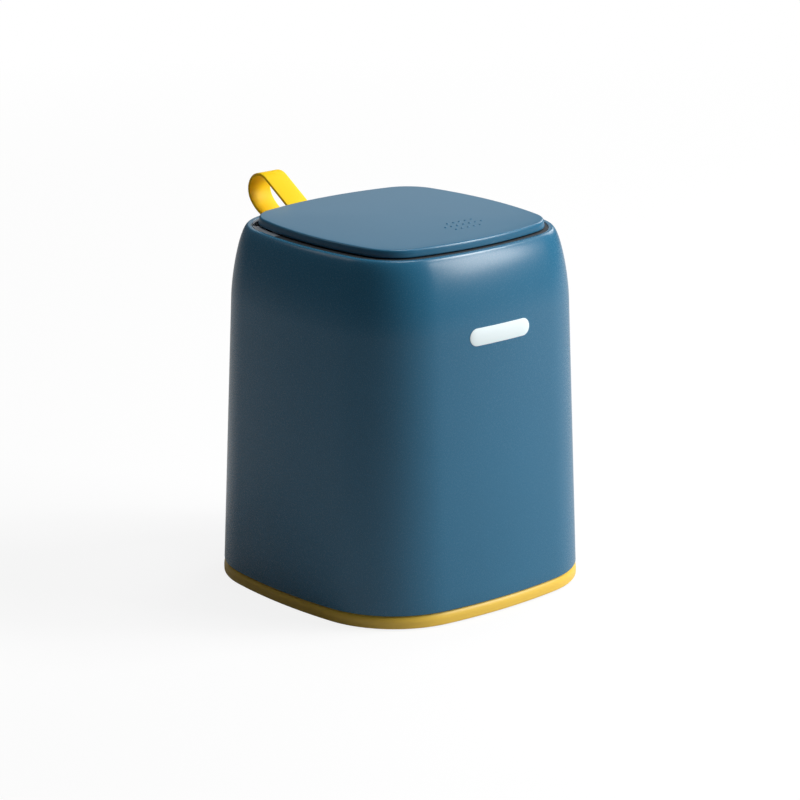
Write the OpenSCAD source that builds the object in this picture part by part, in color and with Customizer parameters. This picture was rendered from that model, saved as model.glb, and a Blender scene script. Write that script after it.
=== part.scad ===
/* [Shell] */
// Width of the body at its foot, across the flats
body_w = 150; // [149:0.5:156]
// Height of the rim above the table
rim_z = 171.3; // [170:0.1:180]
// Width across the outer edge of the rim
rim_w = 123.8; // [123:0.1:126]
// How far each side leans in from foot to rim, without the shoulder
side_draft = 6.29; // [5.5:0.01:6.5]
// Where the shoulder starts, as a part of the height
shoulder_at = 0.793; // [0.78:0.001:0.81]
// Roundness of the shoulder: 2 is an ellipse, less is flatter
shoulder_power = 1.72; // [1.65:0.01:1.9]
// Corner radius in plan at the foot
foot_corner = 44.5; // [42:0.5:46]
// Corner radius in plan at the rim
rim_corner = 30; // [28:0.5:32]
// Radius of the gentle bow of each side at the foot
foot_bow = 258; // [240:1:300]
// Radius of the gentle bow of each side at the rim
rim_bow = 201; // [190:1:240]
// Wall thickness of the shell
wall = 2.2; // [2:0.1:2.4]

/* [Base] */
// Height of the coloured band, where the shell rests
band_h = 6.8; // [6:0.1:8]
// How far the band stands out past the foot of the shell
band_proud = 0.3; // [0:0.05:0.6]
// Height of the spigot that locates the shell
spigot_h = 9.2; // [7:0.1:11]
// Width of the rubber ring that the bin stands on
foot_ring_w = 4; // [3:0.5:5]

/* [Bucket] */
// Width of the bucket at its bottom
bucket_foot_w = 121; // [116:1:122]
// Width of the bucket under its rim
bucket_top_w = 126.8; // [124:0.2:127]
// Height of the top of the bucket above the table
bucket_z = 144; // [120:1:145]
// Wall thickness of the bucket
bucket_wall = 1.6; // [1.2:0.1:2]

/* [Lid] */
// Width of the lid at its lower edge
lid_w = 114.4; // [113:0.1:114.6]
// Height of the lid's flat top above the rim
lid_rise = 4.1; // [4:0.1:4.6]
// Height of the lid's lower edge above the rim
lid_gap = 0.4; // [0.3:0.1:0.5]
// How far the lid sits towards the front
lid_shift = 0.95; // [0.6:0.05:1]
// Thickness of the lid's top skin
lid_skin = 1.6; // [1.4:0.1:1.7]
// Spacing of the raised dots on the lid
dot_pitch = 3.72; // [3.4:0.02:4]
// Radius of the ball that each dot is the cap of
dot_r = 1.1; // [0.9:0.05:1.2]

/* [Hinge] */
// Distance of the hinge axis behind the centre
axis_y = 41; // [40:0.5:42]
// Diameter of the hinge pin
pin_d = 3; // [2.8:0.1:3]
// Length of the hinge pin
pin_l = 72; // [70:1:76]
// Wire diameter of the torsion springs
wire_d = 0.7; // [0.6:0.05:0.75]
// Number of curls in each torsion spring
torsion_curls = 5; // [4:1:5]

/* [Latch] */
// Travel of the latch slider when the lid is pressed
latch_travel = 2; // [1.5:0.1:2]
// Wire diameter of the latch spring
latch_wire_d = 0.55; // [0.4:0.05:0.6]
// Number of curls in the latch spring
latch_curls = 4; // [3:1:5]

/* [Strap] */
// Width of the strap
strap_w = 13.2; // [12:0.2:16]
// Thickness of the strap
strap_t = 1.4; // [1.2:0.1:1.5]
// Outer radius of the strap's nose
nose_r = 9.2; // [8.5:0.1:10]
// Outer radius of the strap's sagging belly
belly_r = 20; // [18:0.5:24]

/* [Hidden] */
$fn = 48;

// Colours of the moulded pieces, as the photograph shows them
blue = "#44718e";
yellow = "#dfb440";
strap_yellow = "#fcdb38";
grey = "#747a81";
pale_grey = "#c9ccd0";
steel = "#b9bcc0";
rubber = "#2c2e30";

// Steps along each half side and round each corner of an outline
side_steps = 3;
corner_steps = 12;
// Rings round the shoulder
shoulder_rings = 12;
// A hair of air between pieces that rest on each other on different bodies
rest_gap = 0.1;
// Clearance on the diameter of a screw or a pin in its hole
hole_play = 0.1;
// More than enough to cut through
through = 60;

shell_z = band_h + rest_gap;
foot_half = body_w / 2;
rim_half = rim_w / 2;
shoulder_z = band_h + shoulder_at * (rim_z - band_h);

// Outer half width of the ring that the bin stands on, and its height
foot_ring_out = foot_half - 5;
foot_ring_h = 1.4;

// Thickness of the rim, and the height of its inner edge
lip_t = 1.9;
lip_h = 2;

// Heights in the well, all measured down from the rim
flange_z = rim_z - 16.3;
flange_t = 2.4;
trough_z = rim_z - 17.2;
rear_wall_z = rim_z - 8.3;
deck_z = rim_z - 4.3;
deck_t = 2;
ledge_z = rim_z - 0.5;
collar_z = rim_z - 19.3;
well_half = 58.9;
well_t = 1.8;
// The wall of the well steps up behind this line
step_y = 21;

// Mouth of the frame
mouth_x = 46;
mouth_front = -45;
mouth_rear = 28;
mouth_r = 16;

// Trough that the rear edge of the lid swings down into
trough_x = 53.6;
trough_y = mouth_rear + well_t;

// Hinge
axis_z = rim_z - 1.7;
ear_r = 3.3;
ear_half = 3;
ear_t = 3.3;
arm_r = 3.6;
arm_x = [24.3, 30.3];
ear_x = [20.6, 30.7];
coil_r = pin_d / 2 + 0.3 + wire_d / 2;
coil_gap = 0.45;
coil_pitch = wire_d + coil_gap;
coil_x = 19.5;

// Lid
lid_half = lid_w / 2;
lid_top_z = rim_z + lid_rise;
lid_low_z = rim_z + lid_gap;
ceiling_z = lid_top_z - lid_skin;
liner_z = lid_low_z + 0.2;
liner_rear = axis_y - 5;
lid_corner = 20.5;
lid_bow = 172;
lid_screws = [[-36, -36], [36, -36], [-36, 18], [36, 18]];
cup_z = liner_z - 2.9;
cup_t = 1.4;

// Screws that hold the frame up in the shell
screw_out = well_half + 2.9;
frame_screw_at = [
    for (x = [-screw_out, screw_out], y = [-14, 14]) [x, y],
    for (x = [-14, 14]) [x, -screw_out]
];
boss_d = 4.6;
screw_d = 2;
head_d = 4;
head_t = 1.4;

// Latch, under the front of the deck
latch_y = -52.2;
latch_half_x = 9;
latch_front = -56.3;
latch_rear = -49.6;
latch_low = rim_z - 23.3;
latch_wall = 1.6;
ear_z = deck_z - deck_t - 3.1;
slider_low = rim_z - 15.9;
slider_top = rim_z - 11.1;
claw_top = rim_z - 7;
latch_spring_r = 1.9;
neck_x = 1.4;
head_x = 2.6;
strike_y = 1.1;

// Strap
slot_at = [67.3, rim_z - 9.1];
slot_angle = 24;
// Where the two plies part, just outside the slot
slot_out = slot_at + 1.6 * [cos(slot_angle), sin(slot_angle)];
nose_at = [96.8, rim_z + 0.6];
nose_end = -40;
bend_r = 5;
belly_end = -105;
tail_y = 64.2 - strap_t;
tail_low = rim_z - 26;
clamp_t = 2;
clamp_x = 13;
clamp_screw_x = 10.6;
clamp_screw_z = rim_z - 21.6;

// Outlines in plan: a square with bowed sides and round corners
function turn(p, a) = [p.x * cos(a) - p.y * sin(a), p.x * sin(a) + p.y * cos(a)];

function corner_centre(w, r, bow) =
    (-(bow - w) + sqrt(2 * pow(bow - r, 2) - pow(bow - w, 2))) / 2;

function quarter(w, r, bow) =
    let (c = corner_centre(w, r, bow), meet = atan2(c, c + bow - w))
    concat(
        [for (i = [0 : side_steps - 1])
            let (t = meet * i / side_steps)
            [bow * cos(t) - (bow - w), bow * sin(t)]],
        [for (i = [0 : corner_steps - 1])
            let (t = meet + (90 - 2 * meet) * i / corner_steps)
            [c + r * cos(t), c + r * sin(t)]],
        [for (i = [0 : side_steps - 1])
            let (t = meet * (1 - i / side_steps))
            [bow * sin(t), bow * cos(t) - (bow - w)]]
    );

function outline(w, r, bow) =
    [for (q = [0 : 3]) each [for (p = quarter(w, r, bow)) turn(p, 90 * q)]];

// A section is [half width, corner radius, bow radius, height]
function ring(s, shift = 0) =
    [for (p = outline(s[0], s[1], s[2])) [p.x, p.y + shift, s[3]]];

// The shell's own section at a half width, moved in by a distance
function blend(a, b, k) = a + (b - a) * k;

function shell_section(w, inset, z) =
    let (k = (w - rim_half) / (foot_half - rim_half))
    [w - inset, blend(rim_corner, foot_corner, k) - inset, blend(rim_bow, foot_bow, k) - inset, z];

// Half width of the leaning side, before the shoulder
function side_half(z) = foot_half - side_draft * (z - band_h) / (rim_z - band_h);

// One point of the shoulder's curve: angle 0 is its start, 90 the rim
function shoulder_section(a, inset, top) =
    let (
        z = shoulder_z + (top - shoulder_z) * pow(sin(a), 2 / shoulder_power),
        roll = 1 - pow(cos(a), 2 / shoulder_power),
        w = side_half(z) - (foot_half - side_draft - rim_half) * roll
            + (z - rim_z) * side_draft / (rim_z - band_h) * roll
    )
    shell_section(w, inset, z);

// Sections parallel to the foot and to the other pieces' own outlines
function foot_section(w, z) =
    [w, foot_corner + w - foot_half, foot_bow + w - foot_half, z];

function foot_outline(w) = outline(w, foot_corner + w - foot_half, foot_bow + w - foot_half);

function bucket_section(w, z) = [w, 34 + w - 62, 215 + w - 62, z];

function lid_section(w, z) = [w, lid_corner + w - lid_half, lid_bow + w - lid_half, z];

function well_outline(w) = outline(w, rim_corner - 3 + w - well_half, rim_bow - 3 + w - well_half);

// Skin through rings: capped at both ends, or joined end to end
module loft(rings, joined = false) {
    n = len(rings[0]);
    m = len(rings);
    last = joined ? m - 1 : m - 2;
    sides = [for (k = [0 : last], i = [0 : n - 1])
        let (a = k * n + i, b = k * n + (i + 1) % n)
        let (d = ((k + 1) % m) * n + i, c = ((k + 1) % m) * n + (i + 1) % n)
        each [[a, d, c], [a, c, b]]];
    caps = joined ? [] : [
        [for (i = [0 : n - 1]) i],
        [for (i = [0 : n - 1]) m * n - 1 - i]
    ];
    polyhedron([for (r = rings) each r], concat(sides, caps), convexity = 8);
}

// A tube of hexagonal section along points, with its own across and up at each
function cross_unit(a, b) = let (v = cross(a, b)) v / norm(v);

function tube_ring(p, along, side, r) =
    let (u = cross_unit(along, side), v = cross_unit(u, along))
    [for (i = [0 : 5]) p + r * (cos(60 * i) * u + sin(60 * i) * v)];

module tube(points, side, r) {
    m = len(points);
    loft([for (k = [0 : m - 1])
        let (a = points[max(k - 1, 0)], b = points[min(k + 1, m - 1)])
        tube_ring(points[k], b - a, side, r)]);
}

// Least gap between a wire's own curls, between points at least three quarters of a curl apart
function least_gap(points, wire) =
    min([for (i = [0 : len(points) - 7], j = [i + 6 : len(points) - 1]) norm(points[i] - points[j])]) - wire;

module ring_2d(w, t) {
    difference() {
        polygon(well_outline(w));
        polygon(well_outline(w - t));
    }
}

module round_rect(x0, x1, y0, y1, r) {
    translate([x0 + r, y0]) square([x1 - x0 - 2 * r, y1 - y0]);
    translate([x0, y0 + r]) square([x1 - x0, y1 - y0 - 2 * r]);
    for (x = [x0 + r, x1 - r], y = [y0 + r, y1 - r]) translate([x, y]) circle(r);
}

// Pan head screw pointing up, its head's top face at z = 0
module screw(length) {
    translate([0, 0, -head_t]) cylinder(d = head_d, h = head_t);
    cylinder(d = screw_d, h = length);
}

module along_x(x0, x1) {
    translate([x0, axis_y, axis_z]) rotate([0, 90, 0]) linear_extrude(x1 - x0) children();
}

module base_tray() {
    band = foot_half + band_proud;
    spigot = foot_half - wall - 1;
    color(yellow)
    difference() {
        union() {
            loft([for (s = [
                foot_section(band - 1.9, 0.6),
                foot_section(band - 0.8, 1.1),
                foot_section(band - 0.2, 2.1),
                foot_section(band, 3.3),
                foot_section(band - 0.1, 4.6),
                foot_section(band - 0.45, 5.7),
                foot_section(band - 1.2, band_h),
                foot_section(spigot, band_h),
                foot_section(spigot - 0.3, band_h + spigot_h - 0.6),
                foot_section(spigot - 0.9, band_h + spigot_h),
                foot_section(spigot - 1.9, band_h + spigot_h),
                foot_section(spigot - 2.1, 3)
            ]) ring(s)]);
            translate([0, 0, 2.8]) linear_extrude(3.4) difference() {
                polygon(outline(62.8, 34.8, 215));
                polygon(outline(61.4, 33.4, 214));
            }
        }
        linear_extrude(foot_ring_h) foot_band(0.1);
    }
}

// Flat band under the base, wider by a margin on both sides
module foot_band(margin) {
    difference() {
        polygon(foot_outline(foot_ring_out + margin));
        polygon(foot_outline(foot_ring_out - foot_ring_w - margin));
    }
}

module foot_ring() {
    color(rubber) linear_extrude(foot_ring_h) foot_band(0);
}

module inner_bucket() {
    foot = bucket_foot_w / 2;
    top = bucket_top_w / 2;
    low = 3 + rest_gap;
    color(pale_grey)
    loft([for (s = [
        bucket_section(foot - 2.2, low),
        bucket_section(foot - 0.6, low + 0.7),
        bucket_section(foot, low + 2.4),
        bucket_section(top, bucket_z - 4.2),
        bucket_section(top + 1.5, bucket_z - 4),
        bucket_section(top + 2, bucket_z - 2.8),
        bucket_section(top + 1.8, bucket_z - 1),
        bucket_section(top + 0.9, bucket_z),
        bucket_section(top - 0.6, bucket_z),
        bucket_section(top - bucket_wall, bucket_z - 1.1),
        bucket_section(foot - bucket_wall, low + 4),
        bucket_section(foot - bucket_wall - 1, low + 2.2),
        bucket_section(foot - bucket_wall - 2.6, low + bucket_wall)
    ]) ring(s)]);
}

module outer_shell() {
    outside = [for (i = [0 : shoulder_rings]) shoulder_section(90 * i / shoulder_rings, 0, rim_z)];
    inside = [for (i = [0 : shoulder_rings])
        shoulder_section(90 - 90 * i / shoulder_rings, lip_t + (wall - lip_t) * i / shoulder_rings,
            rim_z - lip_h)];
    lip = rim_half - lip_t;
    color(blue)
    difference() {
        union() {
            loft([for (s = concat(
                [
                    shell_section(foot_half, wall, shell_z),
                    shell_section(foot_half, 0.8, shell_z),
                    shell_section(foot_half, 0.1, shell_z + 0.7),
                    shell_section(side_half(50), 0, 50),
                    shell_section(side_half(94), 0, 94)
                ],
                outside,
                [
                    shell_section(rim_half, lip_t - 0.5, rim_z),
                    shell_section(rim_half, lip_t, rim_z - 0.5)
                ],
                inside,
                [
                    shell_section(side_half(94), wall, 94),
                    shell_section(side_half(50), wall, 50)
                ]
            )) ring(s)], joined = true);
            for (p = frame_screw_at)
                translate([p.x, p.y, flange_z + flange_t])
                    cylinder(d = boss_d, h = rim_z - 7.5 - flange_z - flange_t);
            for (x = [-clamp_screw_x, clamp_screw_x])
                translate([x, tail_y - strap_t, clamp_screw_z]) rotate([-90, 0, 0])
                    cylinder(d = 4.4, h = 6.2);
            translate([-8.5, 0, 0]) rotate([90, 0, 90]) linear_extrude(17) polygon([
                [tail_y + strap_t, tail_low + 0.6],
                [tail_y + strap_t + 4.2, tail_low + 0.6],
                [tail_y + strap_t + 2, rim_z - 14.4],
                [tail_y + strap_t, rim_z - 14.4]
            ]);
        }
        for (p = frame_screw_at)
            translate([p.x, p.y, flange_z]) cylinder(d = screw_d + hole_play, h = 7);
        for (x = [-clamp_screw_x, clamp_screw_x])
            translate([x, tail_y - strap_t - 1, clamp_screw_z]) rotate([-90, 0, 0])
                cylinder(d = screw_d + hole_play, h = 5.4);
        translate([0, slot_at.x, slot_at.y]) rotate([slot_angle, 0, 0]) {
            cube([strap_w + 1, 12, 2 * strap_t + 0.6], center = true);
            translate([0, -3.9, -0.8]) cube([strap_w + 1, 4, 2 * strap_t + 1.6], center = true);
        }
    }
}

module hinge_ear(x) {
    low = axis_z - trough_z + 0.4;
    front = trough_y - axis_y - 0.4;
    along_x(x, x + ear_t) {
        circle(ear_r);
        polygon([[0, -ear_half], [0, ear_half], [low, ear_half], [low, front], [7, front]]);
    }
}

module top_frame() {
    color(grey)
    difference() {
        union() {
            difference() {
                union() {
                    translate([0, 0, flange_z]) linear_extrude(flange_t) difference() {
                        polygon(well_outline(well_half + 5.4));
                        polygon(well_outline(well_half - 0.5));
                    }
                    translate([0, 0, flange_z]) linear_extrude(deck_z + 1.2 - flange_z)
                        ring_2d(well_half, well_t);
                    translate([0, 0, deck_z]) linear_extrude(ledge_z - deck_z) intersection() {
                        ring_2d(well_half, well_t);
                        translate([-80, step_y]) square([160, 60]);
                    }
                    translate([0, 0, deck_z - deck_t]) linear_extrude(deck_t)
                        polygon(well_outline(well_half - 0.5));
                    translate([0, 0, collar_z]) linear_extrude(deck_z - collar_z)
                        round_rect(-mouth_x - well_t, mouth_x + well_t, mouth_front - well_t,
                            mouth_rear + well_t, mouth_r + well_t);
                    translate([0, 0, trough_z - 2]) linear_extrude(2 + deck_z - trough_z) intersection() {
                        polygon(well_outline(well_half - 0.5));
                        translate([-trough_x - well_t, mouth_rear - 6]) square([2 * (trough_x + well_t), 40]);
                    }
                    for (x = [-15, 15])
                        translate([x, latch_y, ear_z]) cylinder(d = 6, h = deck_z - ear_z - 0.5);
                }
                translate([-trough_x, trough_y, trough_z])
                    cube([2 * trough_x, through, through]);
                translate([0, 0, collar_z - 1]) linear_extrude(through)
                    round_rect(-mouth_x, mouth_x, mouth_front, mouth_rear, mouth_r);
            }
            translate([0, 0, trough_z - 1]) linear_extrude(rear_wall_z - trough_z + 1) intersection() {
                ring_2d(well_half, well_t);
                translate([-trough_x - 1, mouth_rear]) square([2 * (trough_x + 1), 40]);
            }
            for (s = [-1, 1], x = ear_x) hinge_ear(s * (x + ear_t / 2) - ear_t / 2);
        }
        along_x(-pin_l, pin_l) circle(d = pin_d + hole_play);
        for (p = frame_screw_at)
            translate([p.x, p.y, flange_z - 1]) cylinder(d = screw_d + 0.4, h = flange_t + 2);
        for (x = [-15, 15])
            translate([x, latch_y, ear_z - 1]) cylinder(d = screw_d + hole_play, h = 4.4);
        translate([-clamp_x - 0.4, well_half, flange_z - 1]) cube([2 * clamp_x + 0.8, 12, flange_t + 2]);
        translate([-head_x - 0.7, latch_y - strike_y - 1.3, deck_z - deck_t - 1])
            cube([2 * head_x + 1.4, 2 * strike_y + 2.2, deck_t + 2]);
    }
}

module frame_screws() {
    color(steel) for (p = frame_screw_at) translate([p.x, p.y, flange_z]) screw(6.5);
}

// Outer edge of the strap's loop as [y, z, outward angle], from slot to slot
// Outer edge of the loop as [Y, Z, direction of the face], from the upper ply's slot to the lower's
function strap_edge() =
    let (
        top = slot_at + strap_t * [-sin(slot_angle), cos(slot_angle)],
        low = slot_at - strap_t * [-sin(slot_angle), cos(slot_angle)],
        away = nose_at - top,
        lean = atan2(away.y, away.x) + asin(nose_r / norm(away)),
        belly_at = nose_at - (belly_r - nose_r) * [cos(nose_end), sin(nose_end)]
    )
    concat(
        [[top.x, top.y, lean + 90]],
        [for (i = [0 : 18])
            let (a = lean + 90 + (nose_end - lean - 90) * i / 18)
            [nose_at.x + nose_r * cos(a), nose_at.y + nose_r * sin(a), a]],
        [for (i = [1 : 10])
            let (a = nose_end + (belly_end - nose_end) * i / 10)
            [belly_at.x + belly_r * cos(a), belly_at.y + belly_r * sin(a), a]],
        [[low.x, low.y, belly_end]]
    );

// Arc of the tail's bend at a radius, from the slot down to the tail
function tail_bend(r) =
    let (
        rise = (slot_at.x - tail_y - bend_r * (1 - sin(slot_angle))) * tan(slot_angle),
        bend_at = [tail_y + bend_r, slot_at.y - rise - bend_r * cos(slot_angle)]
    )
    [for (i = [0 : 6])
        let (a = 90 + slot_angle + (90 - slot_angle) * i / 6)
        bend_at + r * [cos(a), sin(a)]];

// One band: round the loop, both plies side by side through the slot, and down behind the wall
module strap_loop() {
    edge = strap_edge();
    last = len(edge) - 1;
    up = tail_bend(bend_r + strap_t);
    outside = concat(
        [for (e = edge) [e.x, e.y]],
        tail_bend(bend_r - strap_t),
        [[tail_y + strap_t, tail_low], [tail_y - strap_t, tail_low]],
        [for (i = [len(up) - 1 : -1 : 0]) up[i]]
    );
    hole = concat(
        [slot_out],
        [for (i = [last - 1 : -1 : 1])
            let (e = edge[i]) [e.x - strap_t * cos(e[2]), e.y - strap_t * sin(e[2])]]
    );
    color(strap_yellow)
    translate([-strap_w / 2, 0, 0]) rotate([90, 0, 90]) linear_extrude(strap_w)
        polygon(concat(outside, hole), [
            [for (i = [0 : len(outside) - 1]) i],
            [for (i = [0 : len(hole) - 1]) len(outside) + i]
        ]);
}

module strap_clamp() {
    color(pale_grey)
    difference() {
        translate([-clamp_x, tail_y - strap_t - clamp_t, tail_low + 0.3])
            cube([2 * clamp_x, clamp_t, 9.4]);
        for (x = [-clamp_screw_x, clamp_screw_x])
            translate([x, tail_y - strap_t - clamp_t - 1, clamp_screw_z]) rotate([-90, 0, 0])
                cylinder(d = screw_d + 0.4, h = clamp_t + 2);
    }
}

module strap_screws() {
    color(steel)
    for (x = [-clamp_screw_x, clamp_screw_x])
        translate([x, tail_y - strap_t - clamp_t, clamp_screw_z]) rotate([-90, 0, 0]) screw(5.6);
}

module hinge_pin() {
    color(steel) along_x(-pin_l / 2, pin_l / 2) circle(d = pin_d);
}

// Torsion spring round the pin: curls from x0, one leg under the lid, one on the trough's front
function curl(x0, step, i) =
    let (a = 90 + 45 * i)
    [x0 + step * i / 8, axis_y + coil_r * cos(a), axis_z + coil_r * sin(a)];

function torsion_path(x0, step) =
    let (turns = 8 * torsion_curls + 4)
    concat(
        [[x0, axis_y - 8.6, axis_z + coil_r - 0.9], [x0, axis_y - 0.6, axis_z + coil_r - 0.05]],
        [for (i = [1 : turns - 1]) curl(x0, step, i)],
        [
            [x0 + step * turns / 8, axis_y - 0.6, axis_z - coil_r],
            [x0 + step * turns / 8, axis_y - 10.6, axis_z - coil_r]
        ]
    );

module torsion_spring(x0, step) {
    color(steel) tube(torsion_path(x0, step), [1, 0, 0], wire_d / 2);
}

module torsion_spring_left() {
    torsion_spring(-coil_x, coil_pitch);
}

module torsion_spring_right() {
    torsion_spring(coil_x, -coil_pitch);
}

module latch_housing() {
    color(pale_grey)
    difference() {
        union() {
            translate([-latch_half_x - 3, latch_front, latch_low])
                cube([2 * latch_half_x + 6, latch_rear - latch_front, deck_z - deck_t - latch_low]);
            for (x = [-15, 15])
                translate([x - 3.2, latch_front + 0.8, ear_z - 2])
                    cube([6.4, latch_rear - latch_front - 0.8, 2]);
        }
        translate([-latch_half_x + latch_wall, latch_front + latch_wall, latch_low + latch_wall])
            cube([2 * (latch_half_x - latch_wall), through, through]);
        for (x = [-15, 15]) {
            translate([x, latch_y, ear_z - 3]) cylinder(d = screw_d + 0.4, h = 4);
            translate([x - 3.3, latch_front - 1, ear_z]) cube([6.6, 10, 10]);
        }
        for (x = [-9.9, 9.9], z = [latch_low + 4, latch_low + 10])
            translate([x, latch_rear - 4, z]) rotate([-90, 0, 0]) cylinder(d = 1.7, h = 5);
        translate([1.75, latch_front + 0.4, slider_low + 1.3]) rotate([-90, 0, 0])
            cylinder(d = 1 + hole_play, h = 3);
    }
}

module latch_cover() {
    color(pale_grey)
    difference() {
        translate([-latch_half_x - 3, latch_rear, latch_low])
            cube([2 * latch_half_x + 6, 1.4, deck_z - deck_t - latch_low]);
        for (x = [-9.9, 9.9], z = [latch_low + 4, latch_low + 10])
            translate([x, latch_rear - 1, z]) rotate([-90, 0, 0]) cylinder(d = 2, h = 4);
        for (x = [-15, 15])
            translate([x - 3.3, latch_rear - 1, ear_z]) cube([6.6, 10, 10]);
    }
}

module latch_screws() {
    color(steel) {
        for (x = [-15, 15]) translate([x, latch_y, ear_z - 2]) screw(5);
        for (x = [-9.9, 9.9], z = [latch_low + 4, latch_low + 10])
            translate([x, latch_rear + 1.4, z]) rotate([90, 0, 0]) {
                cylinder(d = 1.6, h = 5);
                translate([0, 0, -0.9]) cylinder(d = 3, h = 0.9);
            }
    }
}

module latch_cam_pin() {
    color(steel)
    translate([1.75, latch_front + 0.4, slider_low + 1.3]) rotate([-90, 0, 0]) cylinder(d = 1, h = 2.6);
}

function latch_spring_path() =
    let (
        low = latch_low + latch_wall + latch_wire_d / 2 + 0.05,
        high = slider_low - latch_wire_d / 2 - 0.05,
        turns = 8 * latch_curls
    )
    [for (i = [0 : turns])
        [latch_spring_r * cos(45 * i), latch_y + latch_spring_r * sin(45 * i), blend(low, high, i / turns)]];

module latch_spring() {
    color(steel) tube(latch_spring_path(), [0, 0, 1], latch_wire_d / 2);
}

module front_bumpers() {
    color(rubber)
    for (x = [-30, 30]) translate([x, mouth_front - 5.4, deck_z]) {
        cylinder(d = 6, h = 1.8);
        translate([0, 0, 1.8]) cylinder(d1 = 6, d2 = 4.6, h = 0.5);
    }
}

// Dots on the lid: rows as [first, last, distance behind the middle row]
dot_rows = [[0.5, 4.5, -5.4], [0, 6, 0], [1.5, 5.5, 5]];
dots_at = [-0.9, -33];

module lid_cover() {
    color(blue)
    difference() {
        union() {
            loft([for (s = [
                lid_section(lid_half - 2.3, ceiling_z),
                lid_section(lid_half - 1.7, lid_low_z + 0.2),
                lid_section(lid_half - 1.3, lid_low_z),
                lid_section(lid_half - 0.3, lid_low_z),
                lid_section(lid_half, lid_low_z + 0.3),
                lid_section(lid_half - 0.45, lid_top_z - 0.9),
                lid_section(lid_half - 0.65, lid_top_z - 0.4),
                lid_section(lid_half - 1.05, lid_top_z - 0.1),
                lid_section(lid_half - 1.6, lid_top_z)
            ]) ring(s, -lid_shift)]);
            for (row = dot_rows, k = [row[0] : row[1]])
                translate([dots_at.x + k * dot_pitch, dots_at.y + row[2], lid_top_z - 0.62])
                    sphere(r = dot_r, $fn = 24);
            for (p = lid_screws)
                translate([p.x, p.y, cup_z + cup_t]) cylinder(d = 4.6, h = ceiling_z - cup_z - cup_t + 0.6);
        }
        for (p = lid_screws)
            translate([p.x, p.y, cup_z]) cylinder(d = screw_d + hole_play, h = 5.4);
    }
}

module lid_liner() {
    color(grey)
    difference() {
        union() {
            translate([0, 0, liner_z]) linear_extrude(ceiling_z - liner_z) intersection() {
                translate([0, -lid_shift])
                    polygon(outline(lid_half - 2.8, lid_corner - 2.8, lid_bow - 2.8));
                translate([-80, liner_rear - 160]) square([160, 160]);
            }
            for (p = lid_screws) translate([p.x, p.y, cup_z]) cylinder(d = 8, h = liner_z - cup_z + 1);
            for (s = [-1, 1]) {
                x0 = s > 0 ? arm_x[0] : -arm_x[1];
                translate([x0, axis_y - 17, axis_z - 1.4]) cube([6, 17, ceiling_z - axis_z + 1.4]);
                along_x(x0, x0 + 6) circle(arm_r);
            }
        }
        for (p = lid_screws) {
            translate([p.x, p.y, cup_z + cup_t]) cylinder(d = 5, h = 10);
            translate([p.x, p.y, cup_z - 1]) cylinder(d = screw_d + 0.4, h = 4);
        }
        along_x(-pin_l, pin_l) circle(d = pin_d + hole_play);
        for (x = [-5, 5])
            translate([x, latch_y, liner_z - 1]) cylinder(d = 1.7, h = 2.6);
    }
}

module liner_screws() {
    color(steel) for (p = lid_screws) translate([p.x, p.y, cup_z]) screw(5.2);
}

module striker() {
    flange = 1.4;
    color(pale_grey)
    difference() {
        union() {
            translate([-7, latch_y - 3.4, liner_z - flange]) cube([14, 6.8, flange]);
            translate([-neck_x, latch_y - strike_y, slider_top + 1])
                cube([2 * neck_x, 2 * strike_y, liner_z - slider_top - 1.5]);
            translate([-head_x, latch_y - strike_y, slider_top + rest_gap])
                cube([2 * head_x, 2 * strike_y, 2.4]);
        }
        for (x = [-5, 5]) translate([x, latch_y, liner_z - flange]) {
            translate([0, 0, -1]) cylinder(d = 2, h = 4);
            translate([0, 0, -1]) cylinder(d = 3.2, h = 1.7);
        }
    }
}

module striker_screws() {
    color(steel)
    for (x = [-5, 5]) translate([x, latch_y, liner_z - 1.3]) {
        cylinder(d = 3, h = 0.6);
        cylinder(d = 1.6, h = 2.8);
    }
}

module latch_slider() {
    front = latch_front + latch_wall + 0.4;
    depth = latch_rear - 0.4 - front;
    half = latch_half_x - latch_wall - 0.4;
    color(strap_yellow)
    difference() {
        union() {
            translate([-half, front, slider_low]) cube([2 * half, depth, slider_top - slider_low]);
            for (s = [-1, 1]) {
                translate([s * 4.3 - 0.8, front + 1.4, slider_top - 0.5])
                    cube([1.6, depth - 2.8, claw_top - slider_top + 0.5]);
                translate([s * 3.7 - 0.8, front + 1.4, claw_top - 1])
                    cube([1.6, depth - 2.8, 1]);
            }
        }
        // Loop of the cam track, with its island left standing
        translate([0, front + 1.2, 0]) rotate([90, 0, 0]) linear_extrude(3) difference() {
            round_rect(-2.7, 2.7, slider_low + 0.6, slider_low + 4.4, 0.9);
            round_rect(-0.8, 0.8, slider_low + 1.9, slider_low + 3.1, 0.5);
        }
    }
}

echo(torsion_spring_gap = least_gap(torsion_path(-coil_x, coil_pitch), wire_d));
echo(latch_spring_gap = least_gap(latch_spring_path(), latch_wire_d));

base_tray();
foot_ring();
inner_bucket();
outer_shell();
top_frame();
frame_screws();
strap_loop();
strap_clamp();
strap_screws();
hinge_pin();
torsion_spring_left();
torsion_spring_right();
latch_housing();
latch_cover();
latch_screws();
latch_cam_pin();
latch_spring();
front_bumpers();
lid_cover();
lid_liner();
liner_screws();
striker();
striker_screws();
latch_slider();
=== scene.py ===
from math import asin, atan2, cos, pi, radians, sin, sqrt

import bmesh
import bpy
from mathutils import Matrix, Vector


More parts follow.
